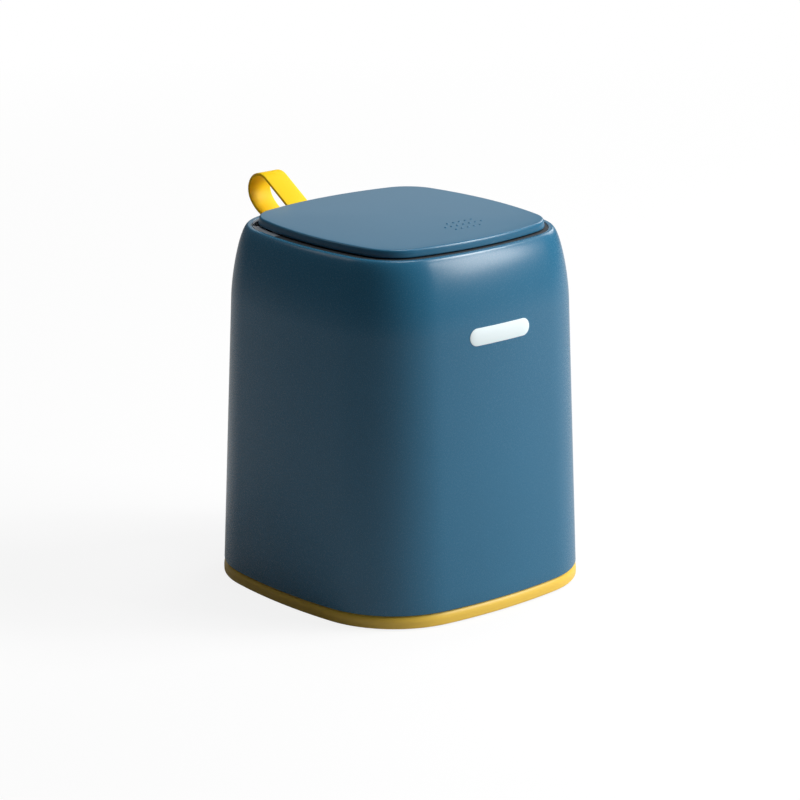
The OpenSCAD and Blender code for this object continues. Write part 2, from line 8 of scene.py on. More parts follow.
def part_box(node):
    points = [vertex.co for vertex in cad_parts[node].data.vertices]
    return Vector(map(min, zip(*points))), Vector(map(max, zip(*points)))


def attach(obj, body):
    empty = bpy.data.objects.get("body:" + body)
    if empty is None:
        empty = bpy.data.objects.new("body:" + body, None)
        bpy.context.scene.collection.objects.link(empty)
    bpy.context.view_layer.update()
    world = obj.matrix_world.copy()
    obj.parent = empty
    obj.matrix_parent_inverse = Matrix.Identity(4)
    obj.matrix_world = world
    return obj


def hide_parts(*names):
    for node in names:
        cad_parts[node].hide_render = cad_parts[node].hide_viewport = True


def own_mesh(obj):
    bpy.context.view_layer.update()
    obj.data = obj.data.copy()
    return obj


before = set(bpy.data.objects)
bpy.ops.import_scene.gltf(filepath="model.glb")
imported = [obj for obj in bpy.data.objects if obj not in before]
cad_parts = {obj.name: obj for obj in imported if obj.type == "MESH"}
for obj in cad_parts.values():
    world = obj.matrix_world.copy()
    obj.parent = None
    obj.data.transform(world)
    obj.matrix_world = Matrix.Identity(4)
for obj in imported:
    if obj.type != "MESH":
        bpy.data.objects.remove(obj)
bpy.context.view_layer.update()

mm = 0.001
weldGap = 1e-6  # in metres: points closer than this are one
smoothBelow = 35  # degrees between faces that still shade as one curve

# corners of the nodes' boxes in the frame, in metres
shellLow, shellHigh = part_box("outer_shell")
lidLow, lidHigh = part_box("lid_cover")
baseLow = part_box("base_tray")[0]
bucketLow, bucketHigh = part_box("inner_bucket")
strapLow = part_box("strap_loop")[0]

# in millimetres, as is every size below unless its note says otherwise
rimHeight = shellHigh.z / mm
footHeight = shellLow.z / mm


# small helpers

def deselectAll():
    if bpy.context.object and bpy.context.object.mode != "OBJECT":
        bpy.ops.object.mode_set(mode="OBJECT")
    bpy.ops.object.select_all(action="DESELECT")


def makeActive(obj):
    deselectAll()
    obj.select_set(True)
    bpy.context.view_layer.objects.active = obj


def applyPlace():
    bpy.ops.object.transform_apply(location=True, rotation=True, scale=True)


def applyModifier(obj, kind, **settings):
    makeActive(obj)
    modifier = obj.modifiers.new(kind, kind)
    for key, value in settings.items():
        setattr(modifier, key, value)
    bpy.ops.object.modifier_apply(modifier=modifier.name)


def joinAll(obj, others):
    makeActive(obj)
    for other in others:
        other.select_set(True)
    bpy.ops.object.join()
    return obj


def cutAway(obj, cutter):
    applyModifier(obj, "BOOLEAN", operation="DIFFERENCE", solver="EXACT", object=cutter)
    bpy.data.objects.remove(cutter)


def dress(obj, name, material, body, slot, *nodes):
    makeActive(obj)
    applyPlace()
    bpy.ops.object.shade_smooth_by_angle(angle=radians(smoothBelow))
    obj.name = obj.data.name = name
    obj.data.materials.clear()
    obj.data.materials.append(material)
    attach(obj, body)
    if nodes:
        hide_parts(*nodes)
    return obj


def linear(hexColour):
    channels = [int(hexColour[i:i + 2], 16) / 255 for i in (1, 3, 5)]
    return [c / 12.92 if c <= 0.04045 else ((c + 0.055) / 1.055) ** 2.4 for c in channels] + [1]


def shaded(hexColour, share):
    return [min(1, c * share) for c in linear(hexColour)[:3]] + [1]


# camera first: found by matching the rim, lid and foot outlines

cameraView = {
    "place": Vector((-982.22, -1122.91, 521.20)) * mm,
    "looks": Vector((0.63204, 0.72249, -0.28023)),
    "focalPixels": 3259.66,
    "framePixels": 800,
    "sensor": 36,
    "clip": (0.05, 20),  # metres
}


def addCamera():
    bpy.ops.object.camera_add(location=cameraView["place"])
    camera = bpy.context.object
    camera.rotation_euler = cameraView["looks"].to_track_quat("-Z", "Y").to_euler()
    sensor = cameraView["sensor"]
    camera.data.sensor_width = sensor
    camera.data.lens = cameraView["focalPixels"] / cameraView["framePixels"] * sensor
    camera.data.clip_start, camera.data.clip_end = cameraView["clip"]
    bpy.context.scene.camera = camera


addCamera()
print("camera set")


# materials

def addNode(tree, kind, settings=None, links=None):
    node = tree.nodes.new(kind)
    for key, value in (settings or {}).items():
        if isinstance(key, str) and hasattr(node, key):
            setattr(node, key, value)
        else:
            node.inputs[key].default_value = value
    for key, socket in (links or {}).items():
        tree.links.new(socket, node.inputs[key])
    return node


def newMaterial(name, **shader):
    material = bpy.data.materials.new(name)
    material.use_nodes = True
    tree = material.node_tree
    principled = tree.nodes["Principled BSDF"]
    for key, value in shader.items():
        principled.inputs[key.replace("_", " ")].default_value = value
    return material, tree, principled


# what a mould leaves on each plastic and rubber piece
moulding = {
    "flowScale": 22,  # clouds about 45 mm across
    "flowDetail": 3,
    "flowRoughness": 0.5,
    "pitDetail": 2,
    "pitRoughness": 0.6,
    "sheenSpread": 0.03,
    "bump": 0.35,
}


# grain is the width of the mould's pits, and depth how deep they are
def mouldedPlastic(name, colour, roughness, grain=0.45, depth=0.009, tint=0.05, ior=1.49):
    material, tree, principled = newMaterial(
        name, Base_Color=linear(colour), Roughness=roughness, IOR=ior)
    place = addNode(tree, "ShaderNodeTexCoord").outputs["Object"]
    # flow of the melt: very soft clouds of tone a few centimetres across
    clouds = addNode(tree, "ShaderNodeTexNoise",
                     {"Scale": moulding["flowScale"], "Detail": moulding["flowDetail"],
                      "Roughness": moulding["flowRoughness"]}, {"Vector": place})
    tone = addNode(tree, "ShaderNodeMix",
                   {"data_type": "RGBA", 6: shaded(colour, 1 - tint), 7: shaded(colour, 1 + tint)},
                   {0: clouds.outputs["Fac"]})
    tree.links.new(tone.outputs[2], principled.inputs["Base Color"])
    # spark-eroded mould grain, drawn coarser than the real 0.15 mm so that it shows
    pits = addNode(tree, "ShaderNodeTexNoise",
                   {"Scale": 1 / (grain * mm), "Detail": moulding["pitDetail"],
                    "Roughness": moulding["pitRoughness"]}, {"Vector": place})
    spread = moulding["sheenSpread"]
    sheen = addNode(tree, "ShaderNodeMapRange",
                    {"To Min": roughness - spread, "To Max": roughness + spread},
                    {"Value": pits.outputs["Fac"]})
    tree.links.new(sheen.outputs["Result"], principled.inputs["Roughness"])
    bump = addNode(tree, "ShaderNodeBump",
                   {"Strength": moulding["bump"], "Distance": depth * mm},
                   {"Height": pits.outputs["Fac"]})
    tree.links.new(bump.outputs["Normal"], principled.inputs["Normal"])
    return material


steelFinish = {"grain": 1.2, "detail": 4, "smoother": 0.06, "rougher": 0.08, "darker": 0.88}


def drawnSteel(name, colour, roughness):
    material, tree, principled = newMaterial(
        name, Base_Color=linear(colour), Metallic=1.0, Roughness=roughness)
    place = addNode(tree, "ShaderNodeTexCoord").outputs["Object"]
    patina = addNode(tree, "ShaderNodeTexNoise",
                     {"Scale": 1 / (steelFinish["grain"] * mm), "Detail": steelFinish["detail"]},
                     {"Vector": place})
    rough = addNode(tree, "ShaderNodeMapRange",
                    {"To Min": roughness - steelFinish["smoother"],
                     "To Max": roughness + steelFinish["rougher"]},
                    {"Value": patina.outputs["Fac"]})
    tree.links.new(rough.outputs["Result"], principled.inputs["Roughness"])
    dark = shaded(colour, steelFinish["darker"])
    tone = addNode(tree, "ShaderNodeMix", {"data_type": "RGBA", 6: dark, 7: linear(colour)},
                   {0: patina.outputs["Fac"]})
    tree.links.new(tone.outputs[2], principled.inputs["Base Color"])
    return material


# polypropylene from a spark-eroded mould: a satin face with wide, soft highlights
shellPolypropylene = mouldedPlastic("shell polypropylene, satin", "#2a6b8c", 0.27)
# the same finish, a little duller: an even sheen across the flat lid
lidPolypropylene = mouldedPlastic("lid polypropylene, satin", "#2a6b8c", 0.29)
# opaque yellow that keeps its colour in the shadow under the shell
basePolypropylene = mouldedPlastic("base polypropylene, satin", "#f7cc50", 0.40)
# pale and dull, so that the mouth of the bin reads deep
bucketPolypropylene = mouldedPlastic("bucket polypropylene, pale grey", "#c9ccd0", 0.45)
# plain grey with hardly a highlight, behind and under the lid
framePolypropylene = mouldedPlastic("frame polypropylene, grey", "#7b8188", 0.5)
# moulded acetal: waxy, with a tight highlight and little grain
latchAcetal = mouldedPlastic("latch acetal, natural", "#d8dadc", 0.32, grain=0.9, depth=0.006)
sliderAcetal = mouldedPlastic("slider acetal, yellow", "#e8c64a", 0.32, grain=0.9, depth=0.006)
# black acetal: no more than a soft glint in the dark gap
strikerAcetal = mouldedPlastic("striker acetal, black", "#1b1d20", 0.4, grain=0.9, depth=0.006)
# moulded rubber: nearly black, with a broad dull sheen
footRubber = mouldedPlastic("foot rubber", "#2c2e30", 0.7, grain=0.5, depth=0.02, ior=1.52)
# a paler grey line between the two blues at the back of the lid: its grey is lightened as painted
# light, standing in for light that does not reach it in the gap
trimGreyPaintedLight = mouldedPlastic("trim polypropylene, grey lightened as painted light", "#9aa1a9", 0.45)
# painted shade: a dark colour on the front part of the ring, so that the gap in front of the lid
# reads dark
frontRingPaintedShade = mouldedPlastic("dark front ring, painted shade", "#2b2f33", 0.75, grain=0.5, depth=0.02, ior=1.52)
# pad-printed enamel ink: an even white film on the blue
pillPrint = mouldedPlastic("pill enamel ink", "#effbfd", 0.45, grain=0.5, depth=0.004, tint=0.01)
# plated screws and pins: bright, cool and a little uneven
zincSteel = drawnSteel("zinc plated steel", "#b9bcc0", 0.32)
# drawn wire: darker, with a sharper line of light along it
springSteel = drawnSteel("spring steel wire", "#9a9da1", 0.28)
# moulded silicone lets light a little way in, so its thin edges glow
strapSilicone = mouldedPlastic("strap silicone", "#ffcf06", 0.5, grain=0.4, depth=0.008, tint=0.03,
                               ior=1.41)
siliconeGlow = {
    "Specular IOR Level": 0.3,
    "Subsurface Weight": 0.35,
    "Subsurface Radius": (1.0, 0.7, 0.15),
    "Subsurface Scale": 3.0 * mm,
}
for key, value in siliconeGlow.items():
    strapSilicone.node_tree.nodes["Principled BSDF"].inputs[key].default_value = value
print("materials made")


# outlines in plan: a square with bowed sides and round corners

sideSteps, cornerSteps = 9, 22


def outline(half, corner, bow):
    centre = (-(bow - half) + sqrt(2 * (bow - corner) ** 2 - (bow - half) ** 2)) / 2
    meet = atan2(centre, centre + bow - half)
    quarter = []
    for i in range(sideSteps):
        t = meet * i / sideSteps
        quarter.append((bow * cos(t) - (bow - half), bow * sin(t)))
    for i in range(cornerSteps):
        t = meet + (pi / 2 - 2 * meet) * i / cornerSteps
        quarter.append((centre + corner * cos(t), centre + corner * sin(t)))
    for i in range(sideSteps):
        t = meet * (1 - i / sideSteps)
        quarter.append((bow * sin(t), bow * cos(t) - (bow - half)))
    points = []
    for c, s in [(1, 0), (0, 1), (-1, 0), (0, -1)]:
        points += [(x * c - y * s, x * s + y * c) for x, y in quarter]
    return points


# the ring's points are taken by angle from +X; the small turn keeps the first one first
def placeRing(obj, section, back):
    half, corner, bow, height = section
    mesh = bmesh.from_edit_mesh(obj.data)
    ring = [v for v in mesh.verts if v.select]
    ring.sort(key=lambda v: (atan2(v.co.y - back * mm, v.co.x) + 1e-4) % (2 * pi))
    for v, (x, y) in zip(ring, outline(half, corner, bow)):
        v.co = Vector((x, y + back, height)) * mm


# a circle is drawn out ring by ring: each section is half width, corner, bow and height
def loftRings(sections, back=0, joined=False):
    deselectAll()
    count = 4 * (2 * sideSteps + cornerSteps)
    bpy.ops.mesh.primitive_circle_add(vertices=count, radius=sections[0][0] * mm,
                                      location=(0, 0, 0))
    obj = bpy.context.object
    bpy.ops.object.mode_set(mode="EDIT")
    placeRing(obj, sections[0], back)
    for section in sections[1:]:
        bpy.ops.mesh.extrude_region_move()
        placeRing(obj, section, back)
    if not joined:
        bpy.ops.mesh.edge_face_add()  # end cap
        bpy.ops.mesh.select_all(action="DESELECT")
        bpy.ops.mesh.select_non_manifold(
            use_wire=False, use_multi_face=False, use_non_contiguous=False, use_verts=False)
        bpy.ops.mesh.edge_face_add()  # start cap
    bpy.ops.mesh.select_all(action="SELECT")
    bpy.ops.mesh.remove_doubles(threshold=weldGap)
    bpy.ops.mesh.normals_make_consistent(inside=False)
    bpy.ops.object.mode_set(mode="OBJECT")
    return obj


# points of a small round in section: degrees from outwards to up
def fillet(halfCentre, heightCentre, radius, start, end, steps):
    turns = [radians(start + (end - start) * i / steps) for i in range(steps + 1)]
    return [(halfCentre + radius * cos(t), heightCentre + radius * sin(t)) for t in turns]


# a rod along an axis, as for bosses
def addRod(width, length, place, turn=(0, 0, 0), sides=32):
    deselectAll()
    bpy.ops.mesh.primitive_cylinder_add(vertices=sides, radius=width / 2 * mm, depth=length * mm,
                                        location=Vector(place) * mm, rotation=turn)
    applyPlace()
    return bpy.context.object


def addBlock(size, place, turn=(0, 0, 0)):
    deselectAll()
    bpy.ops.mesh.primitive_cube_add(size=mm, location=Vector(place) * mm, rotation=turn, scale=size)
    applyPlace()
    return bpy.context.object


# a flat strip or print that faces the front, with its size on it
def addPanel(wide, high, place):
    deselectAll()
    bpy.ops.mesh.primitive_plane_add(size=mm, location=Vector(place) * mm, rotation=(pi / 2, 0, 0))
    obj = bpy.context.object
    obj.scale = (wide, high, 1)
    applyPlace()
    return obj


# strap's sizes, which its slot in the shell shares, and the outer shell

strap = {
    "width": 13.2,
    "thick": 1.4,
    "edgeRound": 0.35,
    "slot": (67.3, 162.2),
    "slotAngle": 24.0,
    "slotPlay": 1.0,
    "slotBlock": (12.0, 0.6),  # how deep, and how much higher than the two plies
    "roomBlock": (4.0, 1.6),
    "roomAt": (3.9, 0.8),  # inwards along the slot, and down from it
    "slotStart": 0.3,
    "nose": (96.8, 171.9),
    "noseRadius": 9.2,
    "noseEnd": -40.0,
    "bellyRadius": 20.0,
    "bellyEnd": -105.0,
    "bend": 5.0,
    "tail": 62.8,
    "steps": {"bend": 8, "nose": 26, "belly": 18},
}

shell = {
    "footHalf": 75.0,
    "rimHalf": 61.9,
    "draft": 6.29,
    "shoulderAt": 0.793,
    "power": 1.72,
    "footCorner": 44.5,
    "rimCorner": 30.0,
    "footBow": 258.0,
    "rimBow": 201.0,
    "wall": 2.2,
    "lip": 1.9,
    "lipHeight": 2.0,
    "lipRound": 0.5,
    "edgeRound": 0.45,
    "edgeFlat": 1.1,
    "restGap": 0.1,
    "sideRings": 22,
    "shoulderRings": 40,
    "bosses": [(61.8, 14), (61.8, -14), (-61.8, 14), (-61.8, -14), (14, -61.8), (-14, -61.8)],
    "bossWidth": 4.6,
    "bossFrom": 13.9,  # this and the next are below the rim
    "bossTo": 7.5,
    "clampAcross": 10.6,
    "clampBelow": 21.6,
    "clampBoss": (4.4, 6.2),
    "padSize": (17.0, 4.2),
    "padFrom": 25.4,  # this and the next are below the rim
    "padTo": 14.4,
    "padLean": 2.2,
}
bandHeight = footHeight - shell["restGap"]
shoulderStart = bandHeight + shell["shoulderAt"] * (rimHeight - bandHeight)


def mixed(a, b, share):
    return a + (b - a) * share


def shellSection(half, inset, height):
    share = (half - shell["rimHalf"]) / (shell["footHalf"] - shell["rimHalf"])
    return [half - inset, mixed(shell["rimCorner"], shell["footCorner"], share) - inset,
            mixed(shell["rimBow"], shell["footBow"], share) - inset, height]


def sideHalf(height):
    return shell["footHalf"] - shell["draft"] * (height - bandHeight) / (rimHeight - bandHeight)


def shoulderSection(angle, inset, top):
    height = shoulderStart + (top - shoulderStart) * sin(angle) ** (2 / shell["power"])
    roll = 1 - cos(angle) ** (2 / shell["power"])
    drop = shell["footHalf"] - shell["draft"] - shell["rimHalf"]
    lean = (height - rimHeight) * shell["draft"] / (rimHeight - bandHeight)
    return shellSection(sideHalf(height) - drop * roll + lean * roll, inset, height)


# the slot that the strap comes out of, with room inside for its bend
def cutStrapSlot(obj):
    y, z = strap["slot"]
    turn = radians(strap["slotAngle"])
    wide, plies = strap["width"] + strap["slotPlay"], 2 * strap["thick"]
    deep, play = strap["slotBlock"]
    cutAway(obj, addBlock((wide, deep, plies + play), (0, y, z), (turn, 0, 0)))
    inwards, down = strap["roomAt"]
    inside = (0, y - inwards * cos(turn) + down * sin(turn),
              z - inwards * sin(turn) - down * cos(turn))
    deep, play = strap["roomBlock"]
    cutAway(obj, addBlock((wide, deep, plies + play), inside, (turn, 0, 0)))


# pad behind the strap's tail
def strapPad():
    wide, deep = shell["padSize"]
    low, high = rimHeight - shell["padFrom"], rimHeight - shell["padTo"]
    tailBack = strap["tail"] + strap["thick"]
    pad = addBlock((wide, deep, high - low), (0, tailBack + deep / 2, (low + high) / 2))
    bpy.ops.object.mode_set(mode="EDIT")
    bpy.ops.mesh.select_all(action="DESELECT")
    bpy.ops.mesh.select_mode(type="EDGE")
    mesh = bmesh.from_edit_mesh(pad.data)
    # the upper edge next to the wall leans in with the shoulder
    for edge in mesh.edges:
        edge.select_set(all(v.co.z > (high - 0.1) * mm and v.co.y > (tailBack + 1) * mm
                            for v in edge.verts))
    bpy.ops.transform.translate(value=(0, -shell["padLean"] * mm, 0))
    bpy.ops.mesh.select_mode(type="VERT")
    bpy.ops.object.mode_set(mode="OBJECT")
    return pad


# bosses that the frame screws go up into, and those of the clamp screws
def shellBosses():
    low, high = rimHeight - shell["bossFrom"], rimHeight - shell["bossTo"]
    made = [addRod(shell["bossWidth"], high - low, (x, y, (low + high) / 2))
            for x, y in shell["bosses"]]
    wide, long = shell["clampBoss"]
    front = strap["tail"] - strap["thick"]
    for x in (-shell["clampAcross"], shell["clampAcross"]):
        middle = (x, front + long / 2, rimHeight - shell["clampBelow"])
        made.append(addRod(wide, long, middle, (pi / 2, 0, 0)))
    return made


def buildShell():
    foot, wall, lip, rings = (shell[key] for key in ("footHalf", "wall", "lip", "shoulderRings"))
    edge, curl, sides = shell["edgeRound"], shell["lipRound"], shell["sideRings"]
    sideHeights = [mixed(footHeight + 2 * edge, shoulderStart, i / sides) for i in range(1, sides)]
    sections = [shellSection(foot, wall, footHeight),
                shellSection(foot, shell["edgeFlat"], footHeight)]
    for half, height in fillet(foot - edge, footHeight + edge, edge, -90, 0, 6):
        sections.append(shellSection(foot, foot - half, height))
    for height in sideHeights:
        sections.append(shellSection(sideHalf(height), 0, height))
    for i in range(rings + 1):
        sections.append(shoulderSection(pi / 2 * i / rings, 0, rimHeight))
    for half, height in fillet(shell["rimHalf"] - lip + curl, rimHeight - curl, curl, 90, 180, 5):
        sections.append(shellSection(shell["rimHalf"], shell["rimHalf"] - half, height))
    # back down the inside
    for i in range(rings + 1):
        share = i / rings
        sections.append(shoulderSection(pi / 2 * (1 - share), mixed(lip, wall, share),
                                        rimHeight - shell["lipHeight"]))
    for height in reversed(sideHeights):
        sections.append(shellSection(sideHalf(height), wall, height))
    sections.append(sections[0])
    obj = loftRings(sections, joined=True)
    cutStrapSlot(obj)
    joinAll(obj, shellBosses() + [strapPad()])
    return dress(obj, "shellSkin", shellPolypropylene, "shell", "shell_blue", "outer_shell")


shellSkin = buildShell()
print("shell made")


# base tray

base = {
    "proud": 0.2,
    "footFlat": 3.2,
    "underFlat": 0.6,
    "underCurve": 0.8,
    "waistHeight": 2.6,
    "tuck": 2.0,
    "tuckSteps": 16,
    "spigotGap": 1.0,
    "spigotHeight": 9.2,
    "spigotLean": 0.3,
    "spigotRounds": (0.6, 0.4),  # outer and inner
    "spigotInner": 1.5,  # from its face to the middle of the inner round
    "spigotEase": 0.1,
    "innerFoot": [(2.0, 4.4), (2.3, 3.4), (3.0, 3.0)],  # inset from the spigot, and height
    "seatHalf": 62.8,  # low ring that keeps the bucket in the middle
    "seatCorner": 34.8,
    "seatBow": 215.0,
    "seatWall": 1.4,
    "seatFloor": 2.8,
    "seatTop": 6.2,
    "seatEase": 0.3,
}


def footSection(half, height):
    more = half - shell["footHalf"]
    return [half, shell["footCorner"] + more, shell["footBow"] + more, height]


def seatSection(inset, height):
    return [base["seatHalf"] - inset, base["seatCorner"] - inset, base["seatBow"] - inset, height]


def buildSeat():
    floor, top, wall, ease = (base["seat" + key] for key in ("Floor", "Top", "Wall", "Ease"))
    profile = [(0, floor), (0, top - ease), (ease, top), (wall - ease, top), (wall, top - ease),
               (wall, floor), (0, floor)]
    return loftRings([seatSection(inset, height) for inset, height in profile], joined=True)


def buildBase():
    band = shell["footHalf"] + base["proud"]
    spigot = shell["footHalf"] - shell["wall"] - base["spigotGap"]
    top = bandHeight + base["spigotHeight"]
    low = baseLow.z / mm
    under, waist = base["underCurve"], low + base["waistHeight"]
    profile = [(band - base["footFlat"], low), (band - under - base["underFlat"], low)]
    profile += fillet(band - under, low + under, under, -90, 0, 8)
    # above its waist the band draws in, so that the shell's edge casts a shadow on it
    for i in range(base["tuckSteps"] + 1):
        turn = pi / 2 * i / base["tuckSteps"]
        profile.append((band - base["tuck"] * (1 - cos(turn)), mixed(waist, bandHeight, sin(turn))))
    lean = base["spigotLean"]
    outer, inner = base["spigotRounds"]
    profile += [(spigot + lean, bandHeight), (spigot, bandHeight + lean),
                (spigot - lean, top - outer - base["spigotEase"])]
    profile += fillet(spigot - lean - outer, top - outer, outer, 0, 90, 4)
    profile += fillet(spigot - base["spigotInner"], top - inner, inner, 90, 180, 4)
    profile += [(spigot - inset, height) for inset, height in base["innerFoot"]]
    obj = loftRings([footSection(half, height) for half, height in profile])
    joinAll(obj, [buildSeat()])
    return dress(obj, "baseTray", basePolypropylene, "base", "base_yellow", "base_tray")


baseTray = buildBase()
print("base made")


# inner bucket

bucket = {
    "footHalf": 60.5,
    "topHalf": 63.4,
    "wall": 1.6,
    "corner": 34.0,
    "bow": 215.0,
    "reference": 62.0,  # half width that the corner and bow belong to
    "footRound": 2.2,
    "rimDrop": 4.0,
    "rimOut": 1.4,
    "rimRounds": (0.6, 1.6),  # under and over
    "mouth": (0.6, 1.0),  # inset and round
    "ease": 0.2,
    "wallSteps": 6,
    "insideFrom": 2.0,  # below the top
    "insideTo": 5.0,  # above the foot
    "floorCurve": [(0.7, 3.2), (1.8, 2.1), (3.2, 1.6)],  # inset from the wall, and height
}


def bucketSection(half, height):
    more = half - bucket["reference"]
    return [half, bucket["corner"] + more, bucket["bow"] + more, height]


def buildBucket():
    low, top = bucketLow.z / mm, bucketHigh.z / mm
    foot, high, wall, ease = (bucket[key] for key in ("footHalf", "topHalf", "wall", "ease"))
    curve, drop, out = bucket["footRound"], bucket["rimDrop"], bucket["rimOut"]
    under, over = bucket["rimRounds"]
    mouthInset, mouthRound = bucket["mouth"]
    shares = [i / bucket["wallSteps"] for i in range(1, bucket["wallSteps"] + 1)]
    profile = fillet(foot - curve, low + curve, curve, -90, 0, 8)
    profile += [(mixed(foot, high, share), mixed(low + curve + ease, top - drop - ease, share))
                for share in shares]
    profile += [(high + ease, top - drop), (high + out, top - drop)]
    profile += fillet(high + out, top - drop + under, under, -90, 0, 3)
    profile += fillet(high + 2 * ease, top - over, over, 0, 90, 8)
    profile += [(high - 2 * ease, top)]
    profile += fillet(high - mouthInset, top - mouthRound, mouthRound, 90, 180, 5)
    profile += [(mixed(high, foot, share) - wall,
                 mixed(top - bucket["insideFrom"], low + bucket["insideTo"], share))
                for share in shares]
    profile += [(foot - wall - inset, low + height) for inset, height in bucket["floorCurve"]]
    obj = loftRings([bucketSection(half, height) for half, height in profile])
    return dress(obj, "innerBucket", bucketPolypropylene, "bucket", "bucket_grey", "inner_bucket")


innerBucket = buildBucket()
print("bucket made")


# lid cover with its raised dots

lid = {
    "corner": 20.5,
    "bow": 172.0,
    "back": -0.95,
    "skin": 1.6,
    "skirt": 1.75,
    "skirtTop": 2.3,
    "lowRound": 0.4,
    "topRound": 1.05,
    "topRoundFrom": 8,  # degrees
    "topEase": 0.2,
    "lean": 0.35,
    "topRise": 4.1,
    "lowRise": 0.4,
    "crown": 0.8,
    "crownRings": 12,
    "dotPitch": 3.72,
    "dotBall": 0.8,
    "dotSink": 0.42,
    "dotCut": 0.3,  # below the lid's face, where the ball is cut off
    "dotsFrom": (-0.9, -33.0),
    "dotRows": [(0.5, 5, -5.4), (0, 7, 0), (1.5, 5, 5)],  # first, how many, and row's place
}
lidHalf = (lidHigh.x - lidLow.x) / 2 / mm
lidTop = rimHeight + lid["topRise"]


def lidSection(half, height):
    return [half, lid["corner"] + half - lidHalf, lid["bow"] + half - lidHalf, height]


def addDot(x, y):
    away = (x * x + (y - lid["back"]) ** 2) / lidHalf ** 2
    face = lidTop + lid["crown"] * (1 - away)
    deselectAll()
    bpy.ops.mesh.primitive_uv_sphere_add(segments=20, ring_count=12, radius=lid["dotBall"] * mm,
                                         location=Vector((x, y, face - lid["dotSink"])) * mm)
    dot = bpy.context.object
    applyPlace()
    bpy.ops.object.mode_set(mode="EDIT")
    bpy.ops.mesh.select_all(action="SELECT")
    bpy.ops.mesh.bisect(plane_co=(0, 0, (face - lid["dotCut"]) * mm), plane_no=(0, 0, 1),
                        clear_inner=True, use_fill=True)
    bpy.ops.object.mode_set(mode="OBJECT")
    return dot


def buildLid():
    low = rimHeight + lid["lowRise"]
    skirt, small, large = lid["skirt"], lid["lowRound"], lid["topRound"]
    profile = [(lidHalf - lid["skirtTop"], lidTop - lid["skin"]), (lidHalf - skirt, low + small)]
    profile += fillet(lidHalf - skirt + small, low + small, small, 180, 270, 4)
    profile += fillet(lidHalf - small, low + small, small, -90, 0, 4)
    profile += [(lidHalf - lid["lean"], lidTop - large - lid["topEase"])]
    profile += fillet(lidHalf - large - small, lidTop - large, large, lid["topRoundFrom"], 90, 10)
    sections = [lidSection(half, height) for half, height in profile]
    # the crown: the edge ring again and again, smaller and higher
    edge = sections[-1]
    for i in range(1, lid["crownRings"] + 1):
        share = 1 - i / (lid["crownRings"] + 0.5)
        height = lidTop + lid["crown"] * (1 - share ** 2)
        sections.append([size * share for size in edge[:3]] + [height])
    obj = loftRings(sections, back=lid["back"])
    right, front = lid["dotsFrom"]
    joinAll(obj, [addDot(right + (first + k) * lid["dotPitch"], front + back)
                  for first, count, back in lid["dotRows"] for k in range(count)])
    return dress(obj, "lidCover", lidPolypropylene, "lid", "lid_blue", "lid_cover")


lidCover = buildLid()
print("lid made")


# strap: one flat band that leaves the shell, loops round and goes back in

def arcPoints(centre, radius, start, end, steps):
    turns = [start + (end - start) * i / steps for i in range(steps + 1)]
    return [centre + radius * Vector((cos(t), sin(t))) for t in turns]


# the middle of the band's thickness as (y, z), from the inside end round the loop and back
def strapPath():
    middle, angle, steps = strap["thick"] / 2, radians(strap["slotAngle"]), strap["steps"]
    out, up = Vector((cos(angle), sin(angle))), Vector((-sin(angle), cos(angle)))
    slot, nose = Vector(strap["slot"]), Vector(strap["nose"])
    bend, radius, belly = strap["bend"], strap["noseRadius"], strap["bellyRadius"]
    rise = (slot.x - strap["tail"] - bend * (1 - sin(angle))) * out.y / out.x
    bendAt = Vector((strap["tail"] + bend, slot.y - rise - bend * cos(angle)))
    tailEnd = strapLow.z / mm
    away = nose - slot - up * strap["thick"]
    lean = atan2(away.y, away.x) + asin(radius / away.length)
    noseEnd, bellyEnd = radians(strap["noseEnd"]), radians(strap["bellyEnd"])
    bellyAt = nose - (belly - radius) * Vector((cos(noseEnd), sin(noseEnd)))
    leaves = slot + out * strap["slotStart"]
    points = [Vector((strap["tail"] - middle, tailEnd))]
    points += arcPoints(bendAt, bend + middle, pi, pi / 2 + angle, steps["bend"])
    points += [leaves + up * middle]
    points += arcPoints(nose, radius - middle, lean + pi / 2, noseEnd, steps["nose"])
    points += arcPoints(bellyAt, belly - middle, noseEnd, bellyEnd, steps["belly"])[1:]
    points += [leaves - up * middle]
    points += arcPoints(bendAt, bend - middle, pi / 2 + angle, pi, steps["bend"])
    points += [Vector((strap["tail"] + middle, tailEnd))]
    return points


def buildStrap():
    points = strapPath()
    start, second = points[:2]
    obj = addPanel(strap["width"], second.y - start.y, (0, start.x, (start.y + second.y) / 2))
    bpy.ops.object.mode_set(mode="EDIT")
    bpy.ops.mesh.select_all(action="DESELECT")
    bpy.ops.mesh.select_mode(type="EDGE")
    mesh = bmesh.from_edit_mesh(obj.data)
    for edge in mesh.edges:  # the upper one, which is drawn on along the path
        edge.select_set(all(v.co.z > (second.y - 0.01) * mm for v in edge.verts))
    for a, b in zip(points[1:], points[2:]):
        step = (b - a) * mm
        bpy.ops.mesh.extrude_region_move(TRANSFORM_OT_translate={"value": (0, step.x, step.y)})
    bpy.ops.mesh.select_mode(type="VERT")
    bpy.ops.object.mode_set(mode="OBJECT")
    applyModifier(obj, "SOLIDIFY", thickness=strap["thick"] * mm, offset=0)
    applyModifier(obj, "BEVEL", width=strap["edgeRound"] * mm, segments=3, limit_method="ANGLE",
                  angle_limit=radians(50))
    return dress(obj, "strapBand", strapSilicone, "shell", "strap_yellow", "strap_loop")


strapBand = buildStrap()
print("strap made")


# bare pill on the front face

pill = {
    "length": 36.6,
    "height": 8.2,
    "middle": 133.4,
    "across": -0.1,
    "proud": 0.22,
    "sink": 0.05,
    "edgeRound": 0.08,
    "endRound": 0.4995,  # share of the height, a hair under half so that its points stay apart
    "cuts": 24,
}


